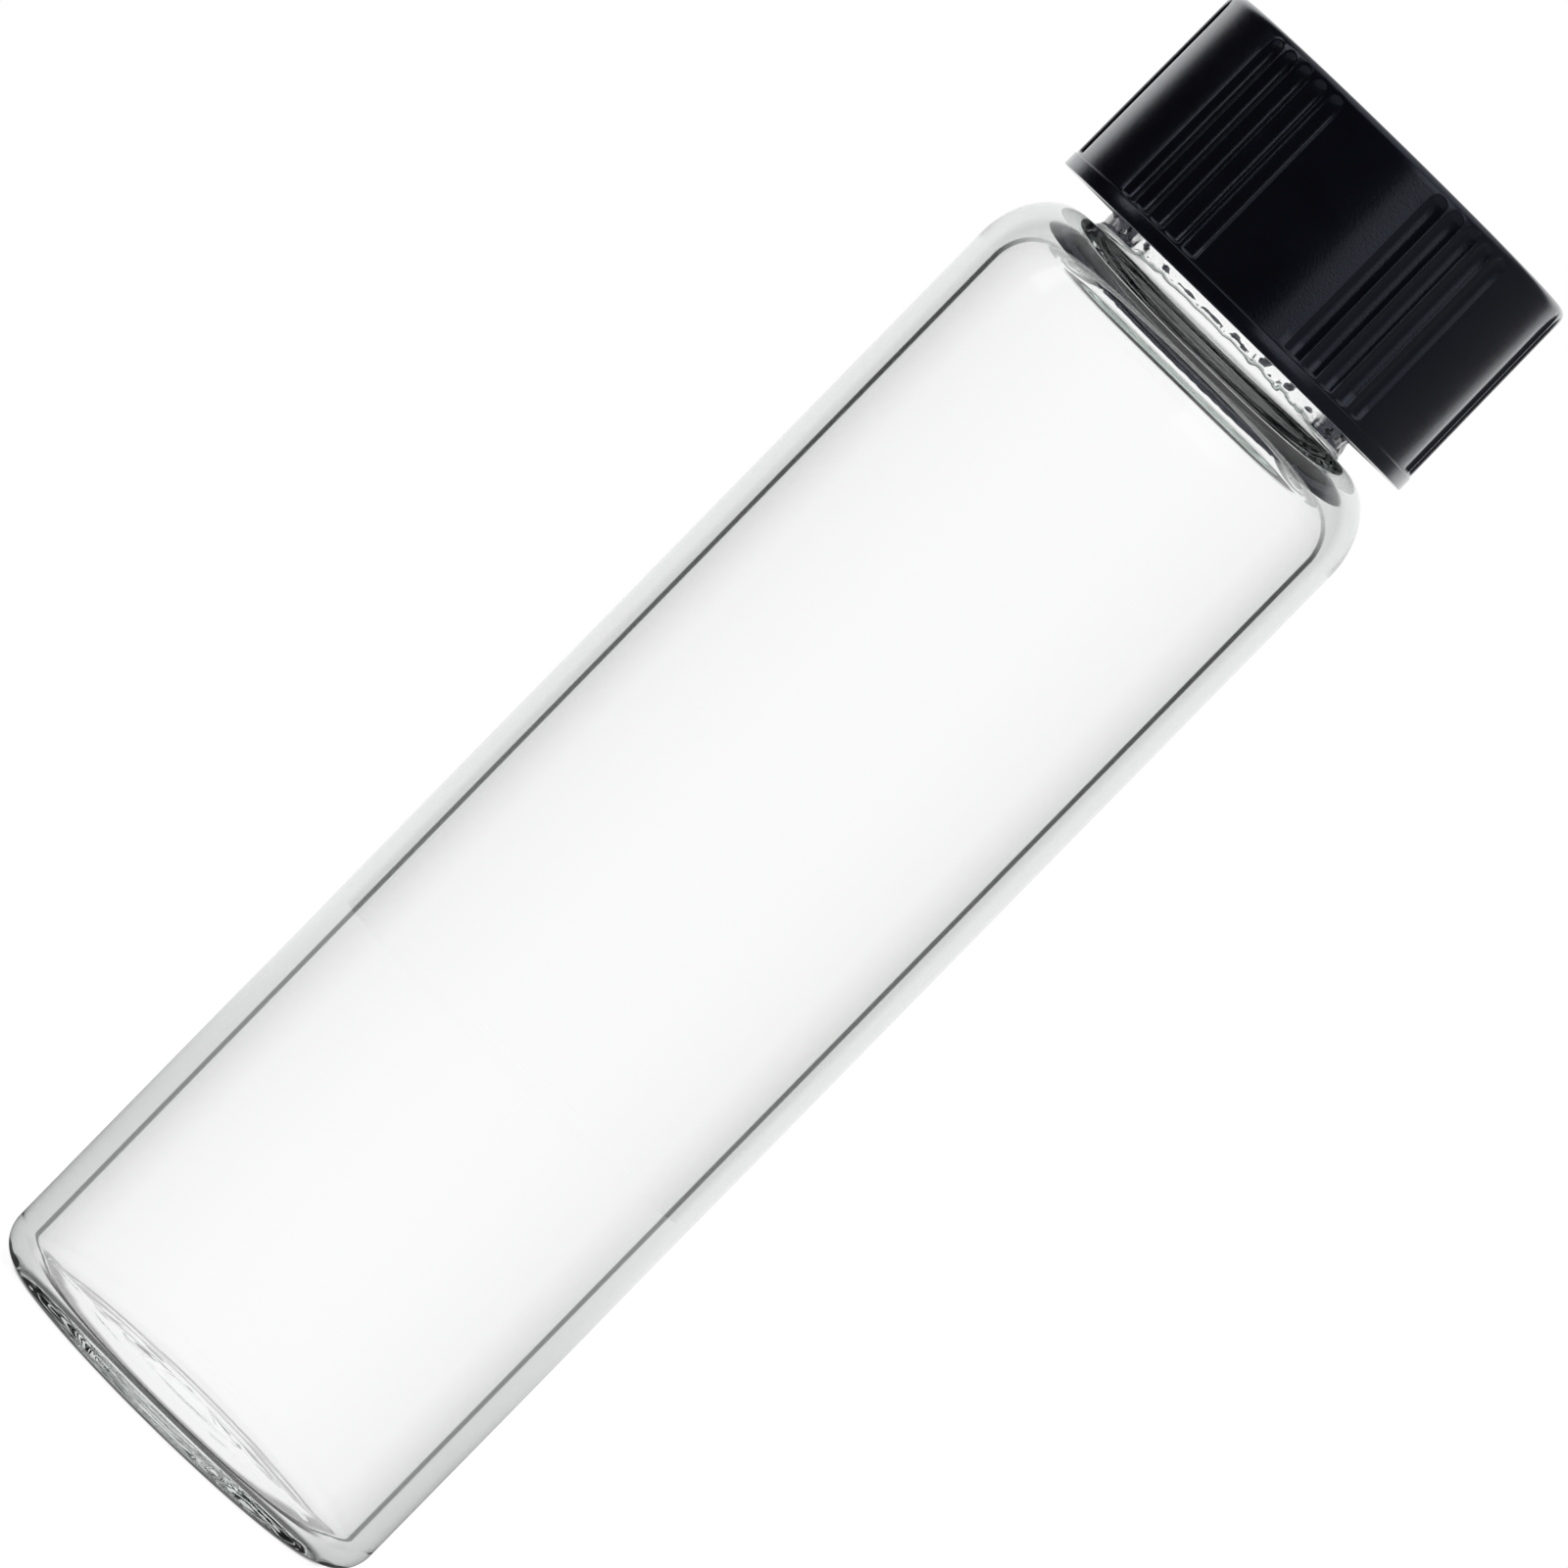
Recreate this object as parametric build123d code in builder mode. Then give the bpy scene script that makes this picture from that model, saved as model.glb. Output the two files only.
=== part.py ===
# Glass sample vial: a screw-neck vial of clear glass, a fluted screw cap and the cap's sealing liner.
# Millimetres, +Z up. The origin is the middle of the base, on the plane that the vial stands on.
import os
from math import radians

from build123d import *

# Body of the vial
body_diameter = 22.0
body_wall = 1.2
vial_height = 76.8

# Base: heel, resting ring, push-up under the floor, and the floor with its raised middle
heel_radius = 1.7
ring_width = 1.4
push_up = 0.35
hollow_flat_radius = 3.0
floor_thickness = 1.0
floor_corner = 0.9
floor_crown_radius = 3.2
floor_crown_rise = 0.55

# Shoulder, neck and sealing rim
shoulder_drop = 3.9
shoulder_wall = 1.1
neck_wall = 1.3
neck_flare = 0.5
throat_flare = 0.8
rim_edge = 0.35

# Cap: the neck follows from its bore, and the shoulder from its height
cap_height = 10.9
cap_top_diameter = 20.7
cap_top_wall = 1.4
cap_wall = 1.45
cap_flare = 0.07
cap_edge = 0.35
cap_lead_in = 0.4
cap_foot_gap = 1.0
thread_room = 1.6

# Plain band round the cap's foot
band_height = 0.75
band_stand_out = 0.1
band_edge = 0.15

# Grip: groups of flutes on the skirt, with a smooth panel after each group
flute_groups = 6
flutes_in_group = 5
flute_pitch_angle = 6.0
flute_width_share = 0.9
flute_depth = 0.17
flute_runout = 1.7
grip_turn = -92.75
cut_overrun = 1.0

# Liner
liner_thickness = 1.0
liner_gap = 0.2

# Heights, from the sealing rim up to the cap's top and down to the shoulder
liner_top = vial_height + liner_thickness
cap_top = liner_top + cap_top_wall
cap_foot = cap_top - cap_height
band_top = cap_foot + band_height
shoulder_height = cap_foot - cap_foot_gap
shoulder_start = shoulder_height - shoulder_drop
inner_shoulder_top = shoulder_height - shoulder_wall

# Radii, from the cap's skirt inwards to the neck's bore
cap_top_r = cap_top_diameter / 2
cap_foot_r = cap_top_r + cap_flare
band_r = cap_foot_r + band_stand_out
cap_bore_r = cap_top_r - cap_wall
liner_r = cap_bore_r - liner_gap
neck_r = cap_bore_r - thread_room
bore_r = neck_r - neck_wall

# Radii of the body, and the shoulder's curves in the room between the body and the neck
body_r = body_diameter / 2
inner_r = body_r - body_wall
heel_start_r = body_r - heel_radius
ring_inner_r = heel_start_r - ring_width
shoulder_centre_r = neck_r + neck_flare
shoulder_reach = body_r - shoulder_centre_r
inner_shoulder_reach = inner_r - shoulder_centre_r
inner_shoulder_drop = shoulder_drop - shoulder_wall

# Glass: one formed piece, turned about the axis
with BuildPart() as glass_vial:
    with BuildSketch(Plane.XZ):
        with BuildLine():
            foot = Polyline(
                (0, push_up),
                (hollow_flat_radius, push_up),
                (ring_inner_r, 0),
                (heel_start_r, 0),
            )
            heel = JernArc(foot @ 1, (1, 0), heel_radius, 90)
            wall = Line(heel @ 1, (body_r, shoulder_start))
            shoulder_centre = (shoulder_centre_r, shoulder_start)
            shoulder = EllipticalCenterArc(shoulder_centre, shoulder_reach, shoulder_drop, arc_size=90)
            neck = Polyline(
                shoulder @ 1,
                (neck_r, shoulder_height + neck_flare),
                (neck_r, vial_height - rim_edge),
                (neck_r - rim_edge, vial_height),
                (bore_r + rim_edge, vial_height),
                (bore_r, vial_height - rim_edge),
                (bore_r, inner_shoulder_top + throat_flare),
                (bore_r + throat_flare, inner_shoulder_top),
                (shoulder_centre_r, inner_shoulder_top),
            )
            ceiling = EllipticalCenterArc(shoulder_centre, inner_shoulder_reach, inner_shoulder_drop, arc_size=90)
            Polyline(
                ceiling @ 0,
                (inner_r, floor_thickness + floor_corner),
                (inner_r - floor_corner, floor_thickness),
                (floor_crown_radius, floor_thickness),
                (0, floor_thickness + floor_crown_rise),
                foot @ 0,
            )
        make_face()
    revolve(axis=Axis.Z)
glass_vial.part.label = "glass_vial"

# Flute cutter: a round bar that follows the leaning skirt up from the band, then runs out of it
flute_half_width = radians(flute_pitch_angle) * cap_foot_r * flute_width_share / 2
flute_radius = (flute_half_width**2 + flute_depth**2) / (2 * flute_depth)
flute_inset = flute_radius - flute_depth
skirt_lean = cap_flare / cap_height
runout_end = cap_top - cap_edge
runout_start = runout_end - flute_runout
runout_slope = flute_depth / flute_runout
flute_foot_r = cap_foot_r - skirt_lean * band_height + flute_inset
runout_start_r = cap_top_r + skirt_lean * (cap_top - runout_start) + flute_inset
bar_end_r = runout_start_r + runout_slope * (flute_runout + cut_overrun)

with BuildPart() as flute_cutter:
    with BuildLine() as bar_path:
        Polyline(
            (flute_foot_r, 0, band_top),
            (runout_start_r, 0, runout_start),
            (bar_end_r, 0, runout_end + cut_overrun),
        )
    with BuildSketch(Plane(origin=bar_path.line @ 0, z_dir=bar_path.line % 0)):
        Circle(flute_radius)
    sweep(path=bar_path.line, transition=Transition.RIGHT)

# Cap: a turned shell with a plain band round its foot, and groups of flutes cut in its skirt
with BuildPart() as screw_cap:
    with BuildSketch(Plane.XZ):
        with BuildLine():
            Polyline(
                (0, liner_top),
                (0, cap_top),
                (cap_top_r - cap_edge, cap_top),
                (cap_top_r + skirt_lean * cap_edge, cap_top - cap_edge),
                (cap_foot_r - skirt_lean * band_height, band_top),
                (band_r, band_top - band_stand_out),
                (band_r, cap_foot + band_edge),
                (band_r - band_edge, cap_foot),
                (cap_bore_r + cap_lead_in, cap_foot),
                (cap_bore_r, cap_foot + cap_lead_in),
                (cap_bore_r, liner_top),
                close=True,
            )
        make_face()
    revolve(axis=Axis.Z)
    for group in range(flute_groups):
        for flute in range(flutes_in_group):
            from_middle = (flute - (flutes_in_group - 1) / 2) * flute_pitch_angle
            turn = grip_turn + (group + 1 / 2) * 360 / flute_groups + from_middle
            add(flute_cutter.part.rotate(Axis.Z, turn), mode=Mode.SUBTRACT)
screw_cap.part.label = "screw_cap"

# Liner: a disc pressed between the rim and the cap's top wall
with BuildPart() as cap_liner:
    with BuildSketch(Plane.XY.offset(vial_height)):
        Circle(liner_r)
    extrude(amount=liner_thickness)
cap_liner.part.label = "cap_liner"

# One file for each piece
os.makedirs("parts", exist_ok=True)
export_step(glass_vial.part, "parts/glass_vial.step")
export_step(screw_cap.part, "parts/screw_cap.step")
export_step(cap_liner.part, "parts/cap_liner.step")
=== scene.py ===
# %% [markdown]
# # A glass sample vial
#
# A small laboratory vial: a tube of clear glass with a rounded shoulder and a screw neck, closed by a
# black fluted cap with a foam liner under its top. The solids of the frame give every overall size, and
# this lesson dresses them: clear glass that bends light, and half-gloss black plastic with a fine grain.

from math import atan2, cos, degrees, exp, hypot, pi, radians, sin, sqrt, tau

import bmesh
import bpy
from mathutils import Matrix, Vector


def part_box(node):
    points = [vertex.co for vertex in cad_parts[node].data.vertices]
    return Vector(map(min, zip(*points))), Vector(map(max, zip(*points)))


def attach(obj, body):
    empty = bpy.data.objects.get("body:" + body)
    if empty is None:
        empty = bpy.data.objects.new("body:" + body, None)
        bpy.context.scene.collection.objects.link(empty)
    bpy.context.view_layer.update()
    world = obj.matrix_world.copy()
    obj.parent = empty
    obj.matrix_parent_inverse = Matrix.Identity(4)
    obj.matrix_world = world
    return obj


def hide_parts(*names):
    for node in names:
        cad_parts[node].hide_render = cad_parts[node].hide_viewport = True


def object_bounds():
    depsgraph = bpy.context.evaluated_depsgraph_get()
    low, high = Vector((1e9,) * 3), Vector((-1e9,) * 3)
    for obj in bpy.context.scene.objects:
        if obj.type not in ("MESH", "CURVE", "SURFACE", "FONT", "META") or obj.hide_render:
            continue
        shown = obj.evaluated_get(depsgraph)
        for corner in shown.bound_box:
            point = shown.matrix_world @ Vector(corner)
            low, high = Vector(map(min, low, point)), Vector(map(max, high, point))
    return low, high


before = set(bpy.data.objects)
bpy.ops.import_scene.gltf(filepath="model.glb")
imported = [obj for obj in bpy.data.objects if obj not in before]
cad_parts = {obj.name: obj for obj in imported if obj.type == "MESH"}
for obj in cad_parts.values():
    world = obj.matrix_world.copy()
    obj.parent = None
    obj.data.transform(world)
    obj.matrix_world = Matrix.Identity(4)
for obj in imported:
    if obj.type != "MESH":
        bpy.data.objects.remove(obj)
solid_low, solid_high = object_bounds()
print("frame nodes:", sorted(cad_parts))

# %% [markdown]
# ## Sizes
#
# Outer sizes come from the boxes of the solids, so the dressed vial can't drift away from them. The rest
# are the sizes that a box can't tell: walls, rounds, the thread and the grip. They are written where
# each piece is drawn. A glass worker and a mould maker both work in millimetres, so the pieces are drawn
# in millimetres and shrunk to metres at the end. The cap's band is drawn a hair inside its solid.

# %% Sizes from the frame
MM = 0.001
band_slack = 0.03

glass_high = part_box("glass_vial")[1]
cap_low, cap_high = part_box("screw_cap")
liner_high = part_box("cap_liner")[1]

body_r = glass_high.x / MM
vial_top = glass_high.z / MM
cap_foot = cap_low.z / MM
cap_top = cap_high.z / MM
band_r = cap_high.x / MM - band_slack
liner_r = liner_high.x / MM
liner_top = liner_high.z / MM
print(f"body radius {body_r:.2f} mm, glass {vial_top:.1f} mm tall, cap foot at {cap_foot:.1f} mm")

# %% [markdown]
# ## Drawing a half section
#
# Both the glass and the cap are turned shapes. One vertex is pulled along the outline of half a section:
# `line_to` extrudes it straight, and `arc_about` spins it round a centre and squeezes the circle to an
# ellipse where the two reaches differ. Each new vertex keeps a number for its zone, which says which
# face of the piece it belongs to, and the later steps look for it.


# %% A pen for outlines
class OutlinePen:
    def __init__(self, zone_name):
        self.bm = bmesh.new()
        self.zone_layer = self.bm.verts.layers.float.new(zone_name)
        self.tip = None

    def start(self, r, z):
        self.tip = self.bm.verts.new((r, 0, z))

    def line_to(self, r, z, rows=1, zone=0.0):
        begin = self.tip.co.copy()
        for row in range(1, rows + 1):
            made = bmesh.ops.extrude_vert_indiv(self.bm, verts=[self.tip])
            self.tip = made["verts"][0]
            self.tip.co = begin.lerp(Vector((r, 0, z)), row / rows)
            self.tip[self.zone_layer] = zone

    def arc_about(self, r, z, turn, steps, zone=0.0, squeeze_r=1.0, squeeze_z=1.0):
        before = set(self.bm.verts)
        spun = bmesh.ops.spin(
            self.bm, geom=[self.tip], cent=(r, 0, z), axis=(0, -1, 0), angle=radians(turn), steps=steps
        )
        for v in self.bm.verts:
            if v not in before:
                v.co.x = r + (v.co.x - r) * squeeze_r
                v.co.z = z + (v.co.z - z) * squeeze_z
                v[self.zone_layer] = zone
        self.tip = next(e for e in spun["geom_last"] if isinstance(e, bmesh.types.BMVert))


print("the pen draws straight lines and arcs")

# %% [markdown]
# ## Turning the section
#
# A full turn in one spin is slow on a fine section, so one sector is spun and then copied round the axis.
# A sector may have spans with coarse and fine steps, which the cap needs: flutes are fine, panels aren't.
# The copies meet exactly, and merging doubles closes the seams and the poles.

# %% Turning
MERGE_WITHIN = 0.0005


def turn_round_axis(bm, spans, copies):
    edge = bm.verts[:] + bm.edges[:]
    for span, steps in spans:
        spun = bmesh.ops.spin(bm, geom=edge, cent=(0, 0, 0), axis=(0, 0, 1), angle=radians(span), steps=steps)
        edge = spun["geom_last"]
    sector = bm.verts[:] + bm.edges[:] + bm.faces[:]
    others = copies - 1
    bmesh.ops.spin(
        bm,
        geom=sector,
        cent=(0, 0, 0),
        axis=(0, 0, 1),
        angle=tau * others / copies,
        steps=others,
        use_duplicate=True,
    )
    bmesh.ops.remove_doubles(bm, verts=bm.verts[:], dist=MERGE_WITHIN)
    bmesh.ops.recalc_face_normals(bm, faces=bm.faces[:])


print("sections are turned in sectors, and points within", MERGE_WITHIN, "mm are merged")

# %% [markdown]
# ## Finishing a piece
#
# Every piece ends in the same way: smooth faces, metres instead of millimetres, one material, the empty of
# the body it rides on as its parent, and the solid it stands for hidden. Its object stays at the origin, so
# patterns on Object coordinates stay where they are.


# %% Finishing
def finished_piece(name, bm, material, body, slot_name, *nodes):
    for face in bm.faces:
        face.smooth = True
    bmesh.ops.scale(bm, vec=(MM, MM, MM), verts=bm.verts[:])
    mesh = bpy.data.meshes.new(name)
    bm.to_mesh(mesh)
    bm.free()
    mesh.materials.append(material)
    piece = bpy.data.objects.new(name, mesh)
    bpy.context.scene.collection.objects.link(piece)
    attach(piece, body)
    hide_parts(*nodes)
    print(f"{name}: {len(mesh.polygons)} faces on body {body}")


print("finished pieces ride on the frame's bodies")

# %% [markdown]
# ## Helpers for materials
#
# A material is a small graph. These helpers keep it readable: they start an empty material, add a node,
# join an output to an input, and do sums. `ramp_between` goes softly from one level to another while its
# source goes from low to high, and `window` is up only between a rise and a fall.


# %% Node helpers
def new_material(name):
    material = bpy.data.materials.new(name)
    material.use_nodes = True
    material.node_tree.nodes.clear()
    return material


def add_node(tree, kind, **values):
    node = tree.nodes.new(kind)
    for key, value in values.items():
        setattr(node, key, value)
    return node


def join(tree, source, target):
    tree.links.new(source, target)


def feed(tree, value, socket):
    if isinstance(value, float):
        socket.default_value = value
    else:
        join(tree, value, socket)


print("nodes can be added and joined")


# %% Sums in a graph
def math_node(tree, operation, first, second):
    node = add_node(tree, "ShaderNodeMath", operation=operation)
    feed(tree, first, node.inputs[0])
    feed(tree, second, node.inputs[1])
    return node.outputs["Value"]


def times(tree, first, second):
    return math_node(tree, "MULTIPLY", first, second)


def larger(tree, first, second):
    return math_node(tree, "MAXIMUM", first, second)


def ramp_between(tree, source, low, high, at_low=0.0, at_high=1.0, kind="SMOOTHSTEP"):
    ramp = add_node(tree, "ShaderNodeMapRange", interpolation_type=kind)
    ramp.inputs["From Min"].default_value = low
    ramp.inputs["From Max"].default_value = high
    ramp.inputs["To Min"].default_value = at_low
    ramp.inputs["To Max"].default_value = at_high
    join(tree, source, ramp.inputs["Value"])
    return ramp.outputs["Result"]


def window(tree, source, begins, full, fades, gone):
    rise = ramp_between(tree, source, begins, full)
    fall = ramp_between(tree, source, fades, gone, at_low=1.0, at_high=0.0)
    return times(tree, rise, fall)


def mark_of(tree, name):
    return add_node(tree, "ShaderNodeAttribute", attribute_name=name).outputs["Fac"]


print("graphs can multiply, compare and ramp")

# %% [markdown]
# ## Clear glass
#
# The vial is laboratory glass, which bends light by a factor of about 1.5 and has next to no colour. A
# Glass shader could make it, but the Principled shader with full transmission does the same and is the
# one that other programs can read.

# %% Glass shader
GLASS_IOR = 1.5

clear_glass = new_material("clear_glass")
tree = clear_glass.node_tree
output = add_node(tree, "ShaderNodeOutputMaterial")
glass = add_node(tree, "ShaderNodeBsdfPrincipled")
glass.inputs["Roughness"].default_value = 0.0
glass.inputs["IOR"].default_value = GLASS_IOR
glass.inputs["Transmission Weight"].default_value = 1.0
print("glass bends light by", GLASS_IOR)

# %% [markdown]
# ### Grey towards the sides
#
# Towards its silhouette a real tube turns grey, because there it bends and mirrors the dark parts of the
# studio. Dark cards beside the vial would do that for one view only. Layer Weight's Facing is 0 where a
# surface looks at the eye and 1 at the silhouette, so a ramp of greys on Facing does it from all sides.
# It tints the outer skin alone, which the mesh marks with an attribute, or the floor would turn grey too.

# %% Grey of the outer skin
WHITE = (1, 1, 1, 1)
WALL_SHADE = (
    (0.0, (1.0, 1.0, 1.0)),
    (0.30, (0.92, 0.92, 0.92)),
    (0.45, (0.70, 0.705, 0.70)),
    (0.55, (0.56, 0.57, 0.565)),
    (0.75, (0.58, 0.595, 0.59)),
    (0.90, (0.50, 0.51, 0.505)),
    (1.0, (0.36, 0.37, 0.365)),
)


def set_ramp(ramp, stops):
    elements = ramp.color_ramp.elements
    while len(elements) > 1:
        elements.remove(elements[-1])
    for place, colour in stops:
        stop = elements[0] if place == stops[0][0] else elements.new(place)
        stop.position = place
        stop.color = (*colour, 1)


facing = add_node(tree, "ShaderNodeLayerWeight").outputs["Facing"]
wall_ramp = add_node(tree, "ShaderNodeValToRGB")
set_ramp(wall_ramp, WALL_SHADE)
join(tree, facing, wall_ramp.inputs["Fac"])
skin_tint = add_node(tree, "ShaderNodeMix", data_type="RGBA")
skin_tint.inputs["A"].default_value = WHITE
join(tree, mark_of(tree, "outer_skin"), skin_tint.inputs["Factor"])
join(tree, wall_ramp.outputs["Color"], skin_tint.inputs["B"])
print("outer skin shades through", len(WALL_SHADE), "greys")

# %% [markdown]
# ### Dark sides of the neck
#
# The short strip of neck between the shoulder and the cap is almost black at its sides, because there it
# bends in the black inside of the cap. A second step of Facing on the neck's own mark gives that, and its
# sharp start keeps the middle of the neck clear.

# %% Neck tint
NECK_DARK = (0.004, 0.004, 0.006, 1)
NECK_STARTS, NECK_FULL = 0.30, 0.41

neck_mask = times(tree, mark_of(tree, "neck_outside"), ramp_between(tree, facing, NECK_STARTS, NECK_FULL))
neck_tint = add_node(tree, "ShaderNodeMix", data_type="RGBA")
neck_tint.inputs["B"].default_value = NECK_DARK
join(tree, neck_mask, neck_tint.inputs["Factor"])
join(tree, skin_tint.outputs["Result"], neck_tint.inputs["A"])
join(tree, neck_tint.outputs["Result"], glass.inputs["Base Color"])
print("neck is dark from facing", NECK_FULL)

# %% [markdown]
# ### Dark line of the inner wall
#
# The strongest line of a clear tube stands a little inside its silhouette. There the eye looks along the
# inner wall, close to the angle at which light can't leave the glass any more and is mirrored instead, and
# it meets the dark of the room. A drawn stripe would stay put when the view turns. A narrow window of
# Facing, on faces that light reaches from inside the glass, picks out that angle, so the line goes with
# the eye. It is fainter towards the base. The rounded edge of the floor has a wider window of its own.

# %% Masks of the two lines
LINE_WINDOW = (0.2475, 0.2515, 0.2605, 0.2650)
FLOOR_EDGE_WINDOW = (0.232, 0.248, 0.270, 0.290)
FAINT_AT, STRONG_AT = 0.005, 0.055
FAINT, STRONG = 0.60, 0.88

place = add_node(tree, "ShaderNodeTexCoord")
axes = add_node(tree, "ShaderNodeSeparateXYZ")
join(tree, place.outputs["Object"], axes.inputs["Vector"])
line_level = ramp_between(tree, axes.outputs["Z"], FAINT_AT, STRONG_AT, FAINT, STRONG, kind="LINEAR")
line_mask = times(tree, window(tree, facing, *LINE_WINDOW), line_level)
line_mask = times(tree, line_mask, mark_of(tree, "inner_wall"))
edge_mask = times(tree, window(tree, facing, *FLOOR_EDGE_WINDOW), mark_of(tree, "floor_edge"))
from_inside = add_node(tree, "ShaderNodeNewGeometry").outputs["Backfacing"]
dark_mask = times(tree, larger(tree, line_mask, edge_mask), from_inside)
print("inner wall is dark between facing", LINE_WINDOW[0], "and", LINE_WINDOW[-1])

# %% Lines in the glass
LINE_COLOUR = (0.004, 0.004, 0.005, 1)

dark_line = add_node(tree, "ShaderNodeBsdfDiffuse")
dark_line.inputs["Color"].default_value = LINE_COLOUR
lined_glass = add_node(tree, "ShaderNodeMixShader")
join(tree, dark_mask, lined_glass.inputs["Fac"])
join(tree, glass.outputs["BSDF"], lined_glass.inputs[1])
join(tree, dark_line.outputs["BSDF"], lined_glass.inputs[2])
print("lines mixed into the glass")

# %% [markdown]
# ### Light through the glass
#
# A clear vial throws hardly any shadow, but a path tracer would stop lamps at the glass. So shadow rays
# pass it with a slight loss. The faint green of thick glass, in the heel and the shoulder, comes from
# absorption inside it, which grows with the length of the way. Light may turn many times between the two
# faces of a wall, and with too few bounces the heel and the shoulder would go black.

# %% Shadow rays and green
SHADOW_LOSS = (0.93, 0.95, 0.94, 1)
GLASS_GREEN = (0.86, 0.93, 0.90, 1)
GREEN_DENSITY = 26.0

light_path = add_node(tree, "ShaderNodeLightPath")
see_through = add_node(tree, "ShaderNodeBsdfTransparent")
see_through.inputs["Color"].default_value = SHADOW_LOSS
shadow_mix = add_node(tree, "ShaderNodeMixShader")
join(tree, light_path.outputs["Is Shadow Ray"], shadow_mix.inputs["Fac"])
join(tree, lined_glass.outputs["Shader"], shadow_mix.inputs[1])
join(tree, see_through.outputs["BSDF"], shadow_mix.inputs[2])
join(tree, shadow_mix.outputs["Shader"], output.inputs["Surface"])

absorption = add_node(tree, "ShaderNodeVolumeAbsorption")
absorption.inputs["Color"].default_value = GLASS_GREEN
absorption.inputs["Density"].default_value = GREEN_DENSITY
join(tree, absorption.outputs["Volume"], output.inputs["Volume"])
print("glass material:", len(tree.nodes), "nodes")

# %% Turns of light
LIGHT_BOUNCES = 20

cycles = bpy.context.scene.cycles
cycles.max_bounces = LIGHT_BOUNCES
cycles.glossy_bounces = LIGHT_BOUNCES
cycles.transmission_bounces = LIGHT_BOUNCES
print("light may turn", LIGHT_BOUNCES, "times")

# %% [markdown]
# ## The vial
#
# Vials like this are made from glass tube: the floor is sealed by a flame, which leaves a thick rounded
# heel and a shallow hollow under it, and the shoulder is pressed in towards the neck. The half section is
# drawn once, outside first and then inside, and turned round the axis, so the wall is one closed skin.

# %% Sizes of the glass
body_wall = 1.2
heel_radius = 1.7
ring_width = 1.4
push_up = 0.35
floor_thickness = 1.0
corner_reach = 0.7
corner_rise = 1.0
cap_foot_gap = 1.0
shoulder_reach = 2.9
shoulder_drop = 3.9
shoulder_wall = 1.35
inner_reach = 2.1
inner_drop = 2.7
neck_r = 7.3
neck_wall = 1.3
neck_flare = 0.5
neck_flare_rise = 1.1
throat_round = 1.6
rim_round = 0.4

inner_r = body_r - body_wall
bore_r = neck_r - neck_wall
heel_start_r = body_r - heel_radius
ring_inner_r = heel_start_r - ring_width
dome_radius = (ring_inner_r**2 + push_up**2) / (2 * push_up)
dome_turn = -degrees(atan2(ring_inner_r, dome_radius - push_up))
shoulder_z = cap_foot - cap_foot_gap
shoulder_start = shoulder_z - shoulder_drop
ceiling_z = shoulder_z - shoulder_wall
inner_start = ceiling_z - inner_drop
corner_top = floor_thickness + corner_rise
rim_start = vial_top - rim_round
print(f"inside radius {inner_r:.1f} mm, bore radius {bore_r:.1f} mm, shoulder at {shoulder_z:.1f} mm")

# %% Outside of the glass
WALL, FLOOR, OUTSIDE = 1.0, 2.0, 3.0
shoulder_squeeze = shoulder_drop / shoulder_reach
flare_squeeze = neck_flare / neck_flare_rise
flare_r = neck_r + neck_flare
flare_z = shoulder_z + neck_flare_rise

pen = OutlinePen("glass_zone")
pen.start(0, push_up)
pen.arc_about(0, push_up - dome_radius, dome_turn, steps=16)
pen.line_to(heel_start_r, 0, rows=6)
pen.arc_about(heel_start_r, heel_radius, 90, steps=14, zone=OUTSIDE)
pen.line_to(body_r, shoulder_start, rows=24, zone=OUTSIDE)
pen.arc_about(body_r - shoulder_reach, shoulder_start, 90, steps=20, zone=OUTSIDE, squeeze_z=shoulder_squeeze)
pen.line_to(flare_r, shoulder_z, rows=2, zone=OUTSIDE)
pen.arc_about(flare_r, flare_z, -90, steps=12, zone=OUTSIDE, squeeze_r=flare_squeeze)
pen.line_to(neck_r, rim_start, rows=84, zone=OUTSIDE)
pen.arc_about(neck_r - rim_round, rim_start, 90, steps=6)
pen.line_to(bore_r + rim_round, vial_top)
pen.arc_about(bore_r + rim_round, rim_start, 90, steps=6)
print("outside of the glass:", len(pen.bm.verts), "points")

# %% Inside of the glass
ceiling_squeeze = inner_reach / inner_drop
corner_squeeze = corner_rise / corner_reach
throat_z = ceiling_z + throat_round

pen.line_to(bore_r, throat_z, rows=16)
pen.arc_about(bore_r + throat_round, throat_z, 90, steps=8)
pen.line_to(inner_r - inner_reach, ceiling_z, rows=3)
pen.arc_about(inner_r - inner_reach, inner_start, -90, steps=18, zone=WALL, squeeze_r=ceiling_squeeze)
pen.line_to(inner_r, corner_top, rows=24, zone=WALL)
pen.arc_about(inner_r - corner_reach, corner_top, -90, steps=14, zone=WALL, squeeze_z=corner_squeeze)
pen.line_to(0, floor_thickness, rows=64, zone=FLOOR)
print("glass section:", len(pen.bm.verts), "points")

# %% Turn the glass
glass_bm = pen.bm
turn_round_axis(glass_bm, [(90, 64)], 4)
print("turned glass:", len(glass_bm.verts), "points")

# %% [markdown]
# ### Marks for the glass material
#
# The material asks which part of the skin a ray has met, and a turned mesh can't say that by itself. So
# each vertex gets marks between 0 and 1: outer skin, neck, inner wall and the rounded edge of the floor.
# Soft starts and ends keep the looks from stopping at a hard border.


# %% Soft steps
def smooth_step(low, high, value):
    share = min(max((value - low) / (high - low), 0.0), 1.0)
    return share * share * (3 - 2 * share)


print("half way up a soft step:", smooth_step(0, 1, 0.5))

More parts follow.
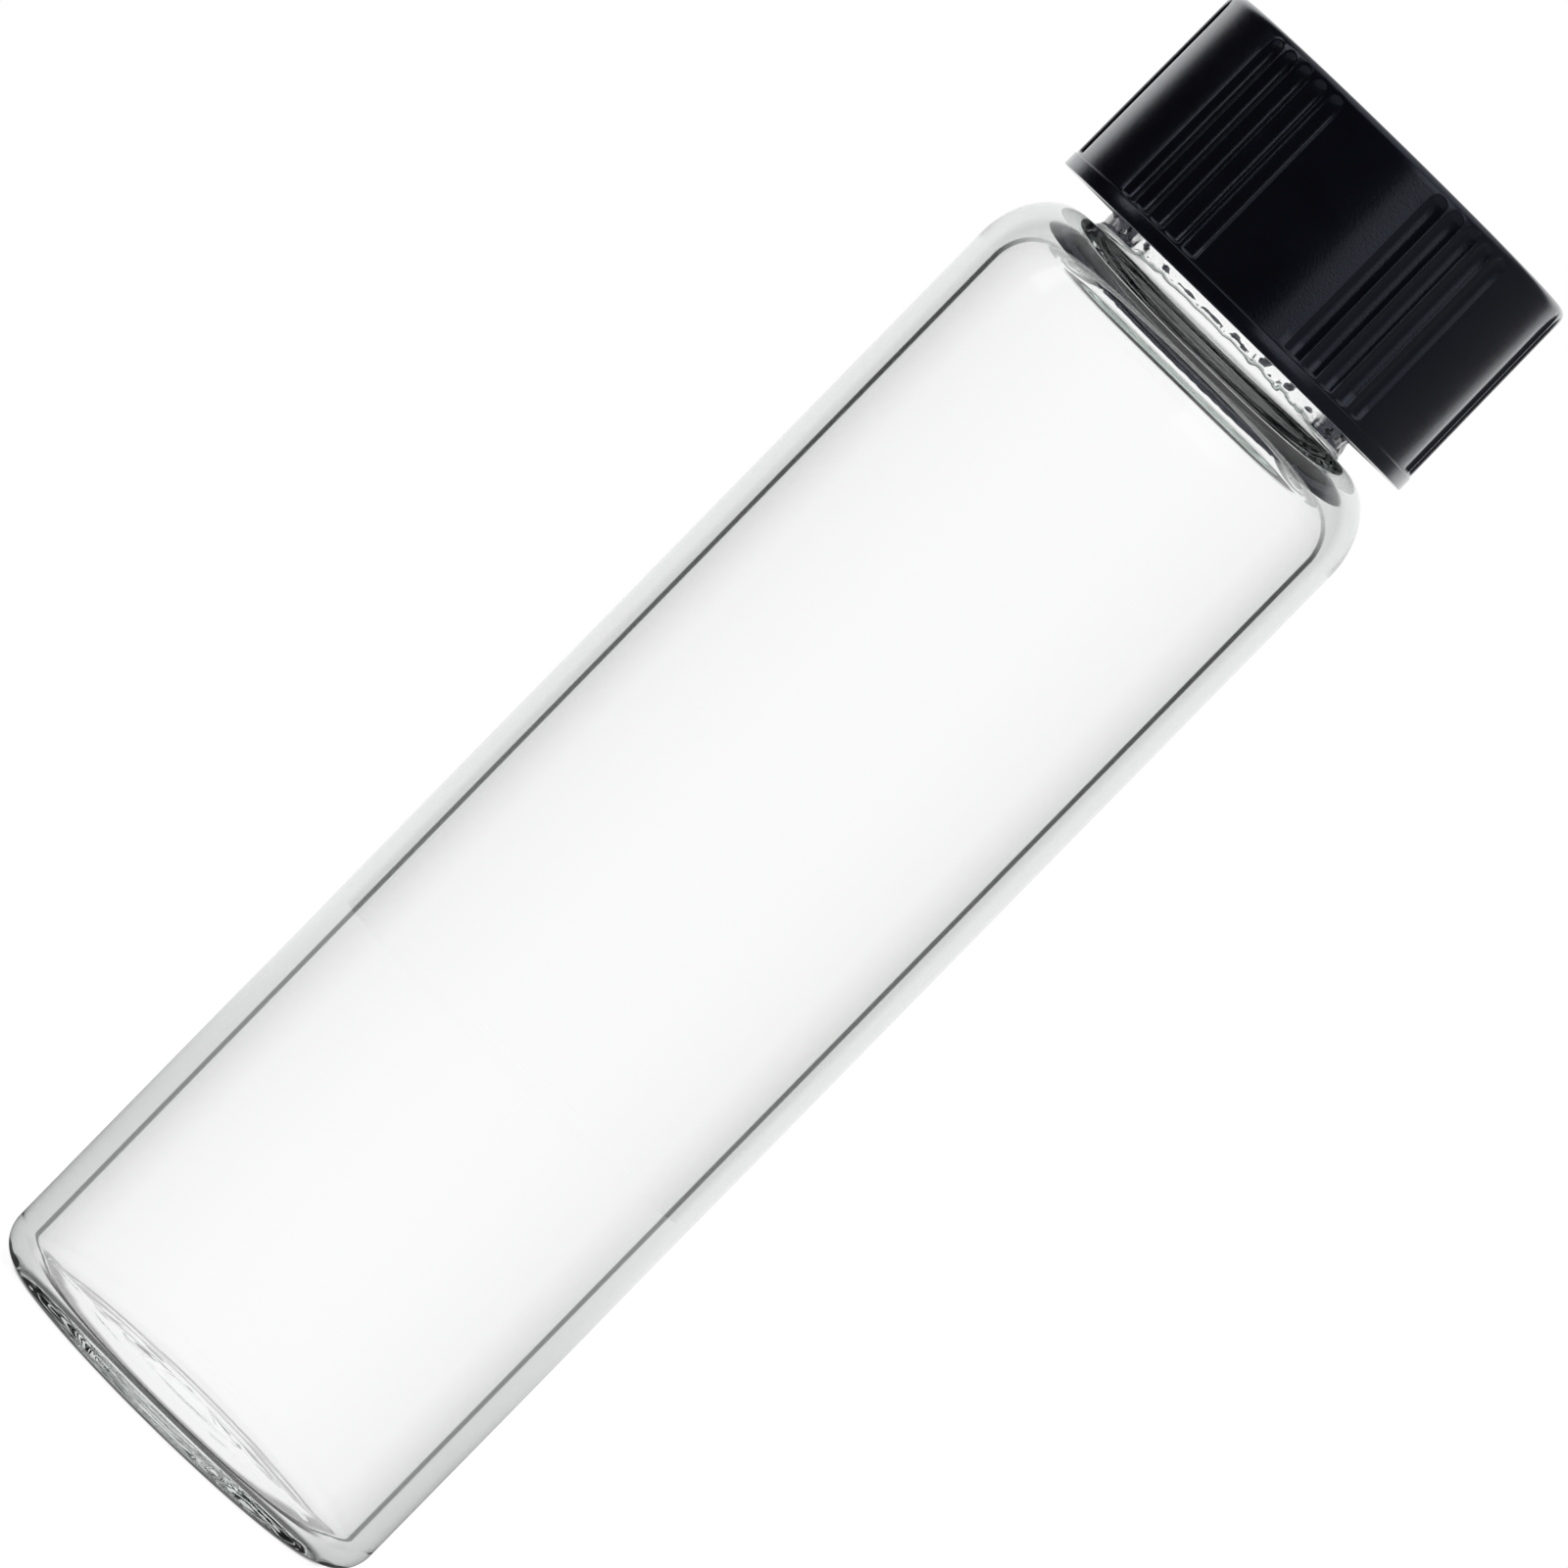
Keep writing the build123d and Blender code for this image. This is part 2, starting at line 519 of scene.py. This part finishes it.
# %% Marks on the glass
neck_foot_gap = 0.12
neck_mark_rise = 0.2
line_fade_share = 0.85
line_fades_from, line_fades_to = inner_start - 0.25, ceiling_z - 0.35
edge_mark_level = 0.85
edge_fades_from, edge_fades_to = corner_top - 0.68, corner_top - 0.5
neck_foot = shoulder_z + neck_foot_gap

zone_layer = glass_bm.verts.layers.float["glass_zone"]
inner_layer = glass_bm.verts.layers.float.new("inner_wall")
neck_layer = glass_bm.verts.layers.float.new("neck_outside")
skin_layer = glass_bm.verts.layers.float.new("outer_skin")
edge_layer = glass_bm.verts.layers.float.new("floor_edge")
for v in glass_bm.verts:
    if v[zone_layer] == WALL:
        v[inner_layer] = 1 - line_fade_share * smooth_step(line_fades_from, line_fades_to, v.co.z)
        v[edge_layer] = edge_mark_level * (1 - smooth_step(edge_fades_from, edge_fades_to, v.co.z))
    elif v[zone_layer] == OUTSIDE:
        v[skin_layer] = 1.0
        if neck_foot < v.co.z < rim_start:
            v[neck_layer] = smooth_step(neck_foot, neck_foot + neck_mark_rise, v.co.z)
print("neck is marked from", round(neck_foot, 2), "mm up")

# %% [markdown]
# ### Floor, foot, thread and neck
#
# Four things aren't plain turned forms. The sealed floor rises to a soft crown with faint swirl rings,
# the resting ring is uneven where it cooled on the plate, a thread runs round the neck, and the hot neck
# was left with a low rippled bead under the cap. A glass worker gets these by chance and by rolling, and
# here a formula for each moves the vertices of the turned skin, which keeps it one closed piece.

# %% Thread of the neck
thread_pitch = 3.175
thread_turns = 1.25
thread_below_rim = 2.0
thread_depth = 1.25
thread_root_half, thread_crest_half = 1.05, 0.4
thread_end_angle = 0.3
thread_start = vial_top - thread_below_rim - thread_turns * thread_pitch


def thread_height(angle, z, start, root_half, crest_half):
    last = thread_turns * tau
    best = 0.0
    for turn in range(int(thread_turns) + 1):
        along = angle + turn * tau
        centre = start + thread_pitch * along / tau
        fade_in = smooth_step(0, thread_end_angle, along)
        fade_out = 1 - smooth_step(last - thread_end_angle, last, along)
        ridge = 1 - smooth_step(crest_half, root_half, abs(z - centre))
        best = max(best, fade_in * fade_out * ridge)
    return best


print(f"thread starts at {thread_start:.2f} mm and rises {thread_pitch} mm for each turn")

# %% Crown and rings of the floor, and the uneven foot
floor_crown = 0.55
crown_r = 3.2
ring_sway = 0.08
floor_rings = (
    {"r": 2.3, "width": 0.35, "height": 0.09},
    {"r": 4.0, "width": 0.45, "height": 0.08},
    {"r": 5.4, "width": 0.6, "height": 0.03},
)
foot_height = 0.13
foot_mean = 0.5
foot_waves = ((5, 0.7, 0.25), (11, 2.0, 0.18), (19, 0.0, 0.07))
foot_gone_r, foot_full_r = heel_start_r + 0.7, heel_start_r - 0.2


def floor_rise(r, angle):
    rise = floor_crown * (1 - smooth_step(0, crown_r, r))
    for ring in floor_rings:
        centre = ring["r"] * (1 + ring_sway * sin(angle + ring["r"]))
        rise += ring["height"] * exp(-(((r - centre) / ring["width"]) ** 2))
    return rise


def foot_rise(r, angle):
    waves = foot_mean
    for count, phase, share in foot_waves:
        waves += share * sin(count * angle + phase)
    return foot_height * waves * smooth_step(foot_gone_r, foot_full_r, r)


print(f"floor rises {floor_rise(0, 0):.2f} mm in the middle, the foot is uneven by {foot_height} mm")

# %% Rippled bead of the neck
neck_waves = ((29, 2, 1.0), (53, -3, 0.8), (83, 5, 0.7))
patch_count, patch_phase = 5, 1.0
patch_mean, patch_swing = 0.6, 0.4
ripple_height = 0.004
bead_height = 0.09
bead_sway = 0.14
bead_from, bead_full = cap_foot - 0.6, cap_foot - 0.2
bead_fades, bead_gone = cap_foot + 0.4, cap_foot + 1.4


def neck_ripple(angle, z):
    wave = 0.0
    for count, lean, share in neck_waves:
        wave += share * sin(count * angle + lean * z)
    ripple = wave * (patch_mean + patch_swing * sin(patch_count * angle + patch_phase))
    bead = bead_height * smooth_step(bead_from, bead_full, z + bead_sway * ripple)
    return (bead + ripple_height * ripple) * (1 - smooth_step(bead_fades, bead_gone, z))


print(f"bead of {bead_height} mm from {bead_from:.1f} mm up")

# %% Sculpt the glass
foot_top = 0.3
foot_inset = 1.0
foot_inner_r = ring_inner_r - foot_inset


def push_out(v, r, lift):
    v.co.x *= (r + lift) / r
    v.co.y *= (r + lift) / r


for v in glass_bm.verts:
    r = hypot(v.co.x, v.co.y)
    angle = atan2(v.co.y, v.co.x) % tau
    z = v.co.z
    zone = v[zone_layer]
    if zone == FLOOR:
        v.co.z = z + floor_rise(r, angle)
    elif zone != WALL and z < foot_top and r > foot_inner_r:
        v.co.z = z + foot_rise(r, angle)
    if zone == OUTSIDE and neck_foot < z < rim_start:
        thread = thread_depth * thread_height(angle, z, thread_start, thread_root_half, thread_crest_half)
        push_out(v, r, thread + neck_ripple(angle, z))
finished_piece("vial_glass", glass_bm, clear_glass, "vial", "clear_glass", "glass_vial")

# %% [markdown]
# ## Black plastic
#
# The cap is moulded in black phenolic plastic: almost no colour of its own, a half-gloss skin with a cold
# sheen, and a fine grain that sparkles where a lamp is mirrored. The grain is far too fine to model, so a
# noise bends the normals. A second, coarser noise changes the black and the gloss a little, as a moulded
# skin does.

# %% Cap material
PLASTIC_IOR = 1.6
SKIN_COAT, SKIN_COAT_ROUGHNESS = 0.5, 0.1
COLD_SHEEN = (0.62, 0.72, 1.0, 1)
DEEP_BLACK = (0.0022, 0.0022, 0.0042, 1)
PALE_BLACK = (0.0050, 0.0051, 0.0088, 1)
GLOSSIEST, DULLEST = 0.12, 0.19
CLOUD_SCALE = 420

black_plastic = new_material("black_plastic")
tree = black_plastic.node_tree
output = add_node(tree, "ShaderNodeOutputMaterial")
plastic = add_node(tree, "ShaderNodeBsdfPrincipled")
plastic.inputs["IOR"].default_value = PLASTIC_IOR
plastic.inputs["Coat Weight"].default_value = SKIN_COAT
plastic.inputs["Coat Roughness"].default_value = SKIN_COAT_ROUGHNESS
plastic.inputs["Specular Tint"].default_value = COLD_SHEEN
join(tree, plastic.outputs["BSDF"], output.inputs["Surface"])
place = add_node(tree, "ShaderNodeTexCoord")
cloud = add_node(tree, "ShaderNodeTexNoise")
cloud.inputs["Scale"].default_value = CLOUD_SCALE
join(tree, place.outputs["Object"], cloud.inputs["Vector"])
shade = add_node(tree, "ShaderNodeMix", data_type="RGBA")
shade.inputs["A"].default_value = DEEP_BLACK
shade.inputs["B"].default_value = PALE_BLACK
join(tree, cloud.outputs["Fac"], shade.inputs["Factor"])
join(tree, shade.outputs["Result"], plastic.inputs["Base Color"])
gloss = ramp_between(tree, cloud.outputs["Fac"], 0.0, 1.0, GLOSSIEST, DULLEST, kind="LINEAR")
join(tree, gloss, plastic.inputs["Roughness"])
print("cap roughness from", GLOSSIEST, "to", DULLEST)

# %% Grain of the cap
GRAIN_SCALE = 13000
GRAIN_DETAIL = 2
GRAIN_STRENGTH = 0.5
GRAIN_HEIGHT = 0.02 * MM

grain = add_node(tree, "ShaderNodeTexNoise")
grain.inputs["Scale"].default_value = GRAIN_SCALE
grain.inputs["Detail"].default_value = GRAIN_DETAIL
join(tree, place.outputs["Object"], grain.inputs["Vector"])
bump = add_node(tree, "ShaderNodeBump")
bump.inputs["Strength"].default_value = GRAIN_STRENGTH
bump.inputs["Distance"].default_value = GRAIN_HEIGHT
join(tree, grain.outputs["Fac"], bump.inputs["Height"])
join(tree, bump.outputs["Normal"], plastic.inputs["Normal"])
print(f"grain of about {1 / GRAIN_SCALE / MM:.2f} mm")

# %% [markdown]
# ## The cap
#
# The cap is a moulded shell: a top wall, a skirt that leans out a little so that the mould lets go, and a
# plain band round its foot. Its half section is drawn like the glass. The rows are close where the flutes
# run out under the top edge and where they stop above the band, because there the skirt bends most.

# %% Sizes of the cap
skirt_top_r = 10.35
skirt_foot_r = 10.42
edge_round = 0.45
band_height = 0.75
band_round = 0.09
foot_round = 0.06
flute_foot = 0.2
flute_below_top = 0.28
runout = 1.7
runout_lean = 0.01
band_step = 0.02
cap_bore_r = 8.9
lead_in = 0.4
bore_end = 0.1

band_top = cap_foot + band_height
flute_end = cap_top - flute_below_top
runout_start = flute_end - runout
print(f"flutes run from {band_top:.2f} to {flute_end:.2f} mm")

# %% Section of the cap
SKIRT, THREAD = 1.0, 2.0

pen = OutlinePen("cap_zone")
pen.start(0, cap_top)
pen.line_to(skirt_top_r - edge_round, cap_top, rows=6)
pen.arc_about(skirt_top_r - edge_round, cap_top - edge_round, -90, steps=6, zone=SKIRT)
pen.line_to(skirt_top_r + runout_lean, runout_start, rows=20, zone=SKIRT)
pen.line_to(skirt_foot_r, band_top + flute_foot, rows=12, zone=SKIRT)
pen.line_to(skirt_foot_r, band_top + band_step, rows=5, zone=SKIRT)
pen.line_to(band_r - band_round, band_top, rows=2)
pen.arc_about(band_r - band_round, band_top - band_round, -90, steps=6)
pen.line_to(band_r, cap_foot + foot_round, rows=2)
pen.arc_about(band_r - foot_round, cap_foot + foot_round, -90, steps=4)
pen.line_to(cap_bore_r + lead_in, cap_foot)
pen.line_to(cap_bore_r, cap_foot + lead_in, zone=THREAD)
pen.line_to(cap_bore_r, liner_top - bore_end, rows=40, zone=THREAD)
pen.line_to(cap_bore_r, liner_top)
pen.line_to(0, liner_top, rows=4)
print("cap section:", len(pen.bm.verts), "points")

# %% [markdown]
# ### Flutes and thread of the cap
#
# Each flute is a shallow round hollow along the skirt, and five of them make a group, with a smooth panel
# after it. The mould would have a row of round bars for them. Cutting with thirty bars is slow and leaves
# ragged faces, so the skirt is turned in fine steps and a formula for the round hollow presses it in. The
# hollow fades out under the top edge and stops above the band. The thread inside fits between the turns
# of the neck's thread.

# %% Flutes
flute_groups = 6
flutes_in_group = 5
flute_pitch_degrees = 6.0
flute_radius = 0.8
flute_depth = 0.17
runout_power = 4
flute_pitch = radians(flute_pitch_degrees)
grip_turn = radians(-92.75)
group_angle = tau / flute_groups


def skirt_r_at(z):
    return skirt_top_r + (skirt_foot_r - skirt_top_r) * (cap_top - z) / (cap_top - band_top)


def flute_cut(angle, z):
    from_group = (angle - grip_turn) % group_angle - group_angle / 2
    outermost = flutes_in_group // 2
    nearest = min(max(round(from_group / flute_pitch), -outermost), outermost)
    aside = skirt_top_r * (from_group - nearest * flute_pitch)
    reach = flute_radius**2 - aside**2
    if reach <= 0:
        return 0.0
    fade = min(max((z - runout_start) / runout, 0.0), 1.0)
    depth = flute_depth * (1 - fade**runout_power) * smooth_step(band_top, band_top + flute_foot, z)
    return max(0.0, sqrt(reach) - (flute_radius - depth))


print(flute_groups * flutes_in_group, "flutes of", flute_depth, "mm")

# %% Turn the cap, press in the flutes and raise its thread
cap_thread_depth = 1.1
cap_thread_root_half, cap_thread_crest_half = 0.9, 0.35
cap_thread_play = 0.12
cap_thread_start = thread_start - thread_pitch / 2 + cap_thread_play
fluted_span = flutes_in_group * flute_pitch_degrees
panel_span = 360 / flute_groups - fluted_span
first_turn = grip_turn + group_angle / 2 - radians(fluted_span / 2)

cap_bm = pen.bm
bmesh.ops.rotate(cap_bm, cent=(0, 0, 0), matrix=Matrix.Rotation(first_turn, 3, "Z"), verts=cap_bm.verts[:])
turn_round_axis(cap_bm, [(fluted_span, 80), (panel_span, 14)], flute_groups)
zone_layer = cap_bm.verts.layers.float["cap_zone"]
for v in cap_bm.verts:
    r = hypot(v.co.x, v.co.y)
    angle = atan2(v.co.y, v.co.x) % tau
    z = v.co.z
    if v[zone_layer] == SKIRT:
        push_out(v, r, min(0.0, skirt_r_at(z) - flute_cut(angle, z) - r))
    elif v[zone_layer] == THREAD and z > cap_foot + lead_in:
        ridge = thread_height(angle, z, cap_thread_start, cap_thread_root_half, cap_thread_crest_half)
        push_out(v, r, -cap_thread_depth * ridge)
finished_piece("cap_shell", cap_bm, black_plastic, "cap", "black_plastic", "screw_cap")

# %% [markdown]
# ## The liner
#
# A disc of off-white closed-cell foam, punched from sheet, lies in the cap and seals on the rim of the
# glass. It is all but hidden while the cap is on, and shows when the cap comes off. A cell pattern gives
# the foam its fine mottling. The disc ends a hair above the rim, because two surfaces in the same place
# flicker.

# %% Liner material
CELL_SCALE = 3500
FOAM_SHADE = (0.62, 0.61, 0.58, 1)
FOAM_LIGHT = (0.78, 0.77, 0.74, 1)
FOAM_GLOSS, FOAM_ROUGHNESS = 0.3, 0.7

liner_foam = new_material("liner_foam")
tree = liner_foam.node_tree
output = add_node(tree, "ShaderNodeOutputMaterial")
foam = add_node(tree, "ShaderNodeBsdfPrincipled")
foam.inputs["Specular IOR Level"].default_value = FOAM_GLOSS
foam.inputs["Roughness"].default_value = FOAM_ROUGHNESS
place = add_node(tree, "ShaderNodeTexCoord")
cells = add_node(tree, "ShaderNodeTexVoronoi")
cells.inputs["Scale"].default_value = CELL_SCALE
join(tree, place.outputs["Object"], cells.inputs["Vector"])
foam_shade = add_node(tree, "ShaderNodeMix", data_type="RGBA")
foam_shade.inputs["A"].default_value = FOAM_SHADE
foam_shade.inputs["B"].default_value = FOAM_LIGHT
join(tree, cells.outputs["Distance"], foam_shade.inputs["Factor"])
join(tree, foam_shade.outputs["Result"], foam.inputs["Base Color"])
join(tree, foam.outputs["BSDF"], output.inputs["Surface"])
print(f"foam cells of about {1 / CELL_SCALE / MM:.2f} mm")

# %% Liner disc
rim_clearance = 0.02
liner_bottom = vial_top + rim_clearance

liner_bm = bmesh.new()
bmesh.ops.create_cone(
    liner_bm,
    cap_ends=True,
    segments=128,
    radius1=liner_r,
    radius2=liner_r,
    depth=liner_top - liner_bottom,
    matrix=Matrix.Translation((0, 0, (liner_top + liner_bottom) / 2)),
)
finished_piece("liner_disc", liner_bm, liner_foam, "liner", "liner_foam", "cap_liner")

# %% [markdown]
# ## Floor
#
# The vial is shown on white. A white floor under strong lamps would do it, but it would light the black
# cap from below. So the floor is a plain pale disc that also glows, for rays that come straight from the
# eye or through the glass. Mirrored rays see its glow only behind the vial, because in front the studio
# is dark. Close under the resting ring, where no light gets in, the glow is shaded.

# %% Which rays see the floor glow
FLOOR_GLOW = 0.84
STRAIGHT_EXTRA = 0.05
BEHIND_FROM, BEHIND_FULL = 0.0, 0.3

floor_paint = new_material("floor_paint")
tree = floor_paint.node_tree
output = add_node(tree, "ShaderNodeOutputMaterial")
rays = add_node(tree, "ShaderNodeLightPath").outputs
place = add_node(tree, "ShaderNodeTexCoord")
axes = add_node(tree, "ShaderNodeSeparateXYZ")
join(tree, place.outputs["Object"], axes.inputs["Vector"])
behind = ramp_between(tree, axes.outputs["Y"], BEHIND_FROM, BEHIND_FULL)
mirrored = times(tree, rays["Is Glossy Ray"], behind)
seen = larger(tree, rays["Is Camera Ray"], mirrored)
seen = larger(tree, seen, rays["Is Transmission Ray"])
extra = times(tree, rays["Is Camera Ray"], STRAIGHT_EXTRA)
glow_level = math_node(tree, "ADD", times(tree, seen, FLOOR_GLOW), extra)
print("floor glows at", FLOOR_GLOW)

# %% Shade under the resting ring
RING_RADIUS = 8.8 * MM
SHADE_FULL, SHADE_GONE = 0.5 * MM, 1.1 * MM
SHADE_LEVEL = 0.08
FLOOR_PALE = (0.2, 0.2, 0.2, 1)

from_axis = add_node(tree, "ShaderNodeVectorMath", operation="LENGTH")
join(tree, place.outputs["Object"], from_axis.inputs[0])
off_ring = math_node(tree, "SUBTRACT", from_axis.outputs["Value"], RING_RADIUS)
ring_distance = math_node(tree, "ABSOLUTE", off_ring, 0.0)
beside_ring = ramp_between(tree, ring_distance, SHADE_FULL, SHADE_GONE, at_low=SHADE_LEVEL)
matt = add_node(tree, "ShaderNodeBsdfDiffuse")
matt.inputs["Color"].default_value = FLOOR_PALE
glow = add_node(tree, "ShaderNodeEmission")
glow.inputs["Color"].default_value = WHITE
join(tree, times(tree, glow_level, beside_ring), glow.inputs["Strength"])
both = add_node(tree, "ShaderNodeAddShader")
join(tree, matt.outputs["BSDF"], both.inputs[0])
join(tree, glow.outputs["Emission"], both.inputs[1])
join(tree, both.outputs["Shader"], output.inputs["Surface"])
print(f"floor is shaded round a ring of {RING_RADIUS / MM:.1f} mm radius")

# %% Floor disc
FLOOR_RADIUS = 0.35
FLOOR_DROP = 0.05 * MM

floor_bm = bmesh.new()
bmesh.ops.create_circle(
    floor_bm,
    cap_ends=True,
    segments=96,
    radius=FLOOR_RADIUS,
    matrix=Matrix.Translation((0, 0, -FLOOR_DROP)),
)
floor_mesh = bpy.data.meshes.new("floor")
floor_bm.to_mesh(floor_mesh)
floor_bm.free()
floor_mesh.materials.append(floor_paint)
floor = bpy.data.objects.new("floor", floor_mesh)
bpy.context.scene.collection.objects.link(floor)
print("floor radius", FLOOR_RADIUS, "m")

# %% [markdown]
# ## World
#
# The world round the vial is white for rays that come straight from the eye or through the glass, and a
# plain even light for the rest. A mirrored ray sees the studio instead: a white backdrop behind the vial,
# a dim room at the right, a light ceiling, a soft box at the right of the camera and a narrow strip at the
# left. They draw the highlights on the cap and the glass. In a world graph Generated is the direction of
# the ray, so its axes tell where in the room the ray ends. The world isn't sampled as a lamp is, because
# then it couldn't tell one kind of ray from another.

# %% Directions in the room
world = bpy.data.worlds.new("white_studio")
bpy.context.scene.world = world
world.use_nodes = True
world.cycles.sampling_method = "NONE"
tree = world.node_tree
tree.nodes.clear()
output = add_node(tree, "ShaderNodeOutputWorld")
rays = add_node(tree, "ShaderNodeLightPath").outputs
place = add_node(tree, "ShaderNodeTexCoord")
axes = add_node(tree, "ShaderNodeSeparateXYZ")
join(tree, place.outputs["Generated"], axes.inputs["Vector"])
rightwards, backwards, upwards = axes.outputs
azimuth = math_node(tree, "ARCTAN2", rightwards, times(tree, backwards, -1.0))
print("azimuth is counted from the camera to the right")

# %% The room that mirrored rays see
SOFT_BOX_DEGREES = (7, 14, 30, 60)
SIDE_STRIP_DEGREES = (-95, -89, -82, -76)
LAMP_HEIGHTS = (0.0, 0.06, 0.55, 0.8)
SOFT_BOX_LEVEL = 0.7
ROOM_DARK = 0.01
BACKDROP_FROM, BACKDROP_FULL = 0.62, 0.80
RIGHT_FROM, RIGHT_FULL, RIGHT_LEVEL = 0.2, 0.8, 0.12
CEILING_FROM, CEILING_FULL, CEILING_LEVEL = 0.6, 0.9, 0.6


def mirrored_lamp(edges_degrees):
    across = window(tree, azimuth, *[radians(edge) for edge in edges_degrees])
    return times(tree, across, window(tree, upwards, *LAMP_HEIGHTS))


backdrop_side = ramp_between(tree, backwards, BACKDROP_FROM, BACKDROP_FULL, at_low=ROOM_DARK)
right_side = ramp_between(tree, rightwards, RIGHT_FROM, RIGHT_FULL, ROOM_DARK, RIGHT_LEVEL)
ceiling = ramp_between(tree, upwards, CEILING_FROM, CEILING_FULL, at_high=CEILING_LEVEL)
mirrored_room = larger(tree, backdrop_side, right_side)
mirrored_room = larger(tree, mirrored_room, times(tree, mirrored_lamp(SOFT_BOX_DEGREES), SOFT_BOX_LEVEL))
mirrored_room = larger(tree, mirrored_room, mirrored_lamp(SIDE_STRIP_DEGREES))
mirrored_room = larger(tree, mirrored_room, ceiling)
print("soft box between", SOFT_BOX_DEGREES[0], "and", SOFT_BOX_DEGREES[-1], "degrees")

# %% What each ray sees
EVEN_LIGHT, BACKDROP_WHITE = 0.75, 1.0


def blend(factor, first, second):
    node = add_node(tree, "ShaderNodeMix", data_type="FLOAT")
    join(tree, factor, node.inputs["Factor"])
    feed(tree, first, node.inputs["A"])
    feed(tree, second, node.inputs["B"])
    return node.outputs["Result"]


not_through = math_node(tree, "SUBTRACT", 1.0, rays["Is Transmission Ray"])
mirror_only = times(tree, rays["Is Glossy Ray"], not_through)
straight = larger(tree, rays["Is Camera Ray"], rays["Is Transmission Ray"])
plain_level = blend(straight, EVEN_LIGHT, BACKDROP_WHITE)
backdrop = add_node(tree, "ShaderNodeBackground")
backdrop.inputs["Color"].default_value = WHITE
join(tree, blend(mirror_only, plain_level, mirrored_room), backdrop.inputs["Strength"])
join(tree, backdrop.outputs["Background"], output.inputs["Surface"])
print("world:", len(tree.nodes), "nodes, even light", EVEN_LIGHT)

# %% [markdown]
# ## Lamps
#
# Two soft lamps stand where the mirrored soft box and strip are, and give the pieces their shape and a
# soft shadow. They are hidden from mirrors and glass, which already see the lamps of the world. A lamp's
# energy is worked out from its area, so that its face is equally bright whatever its size.


# %% Lamps
def soft_lamp(name, azimuth, elevation, distance, width, height, level):
    lamp = bpy.data.lights.new(name, "AREA")
    lamp.shape = "RECTANGLE"
    lamp.size = width
    lamp.size_y = height
    lamp.energy = pi * width * height * level
    holder = bpy.data.objects.new(name, lamp)
    a, e = radians(azimuth), radians(elevation)
    towards = Vector((sin(a) * cos(e), -cos(a) * cos(e), sin(e)))
    middle = Vector((0, 0, (solid_low.z + solid_high.z) / 2))
    holder.location = middle + towards * distance
    holder.rotation_mode = "QUATERNION"
    holder.rotation_quaternion = (-towards).to_track_quat("-Z", "Y")
    holder.visible_camera = False
    holder.visible_transmission = False
    holder.visible_glossy = False
    bpy.context.scene.collection.objects.link(holder)
    print(f"{name}: {lamp.energy:.2f} W at {azimuth} degrees")


soft_lamp("soft_box_right", azimuth=28, elevation=20, distance=0.9, width=0.57, height=0.9, level=1.0)
soft_lamp("strip_left", azimuth=-85, elevation=10, distance=0.9, width=0.18, height=0.9, level=1.0)

# %% [markdown]
# ## Camera
#
# The picture was taken from nearly level with the vial, through a long lens, with the vial leaning to the
# right. Here the vial stands, and the camera rolls the other way instead, so that the floor stays level.

# %% Camera
camera_distance = 0.627
camera_height = 0.0626
aim_height = 0.0396
camera_roll = 44.4
sensor_width = 36.0
lens_length = 320.8

camera_data = bpy.data.cameras.new("photo_camera")
camera_data.sensor_width = sensor_width
camera_data.lens = lens_length
camera = bpy.data.objects.new("photo_camera", camera_data)
camera.location = (0, -camera_distance, camera_height)
aim = Vector((0, 0, aim_height)) - camera.location
camera.rotation_mode = "QUATERNION"
roll = Matrix.Rotation(radians(camera_roll), 3, "Z").to_quaternion()
camera.rotation_quaternion = aim.to_track_quat("-Z", "Y") @ roll
bpy.context.scene.collection.objects.link(camera)
bpy.context.scene.camera = camera
bpy.context.scene.view_settings.view_transform = "Standard"
print(f"camera {aim.length:.3f} m away, rolled {camera_roll} degrees")

# %% [markdown]
# ## Box of the solids
#
# A dressed piece mustn't grow past its solid. The box of the solids, kept from the start, is written down.

# %% Box of the solids, and the end
print("solid box", solid_low, solid_high)
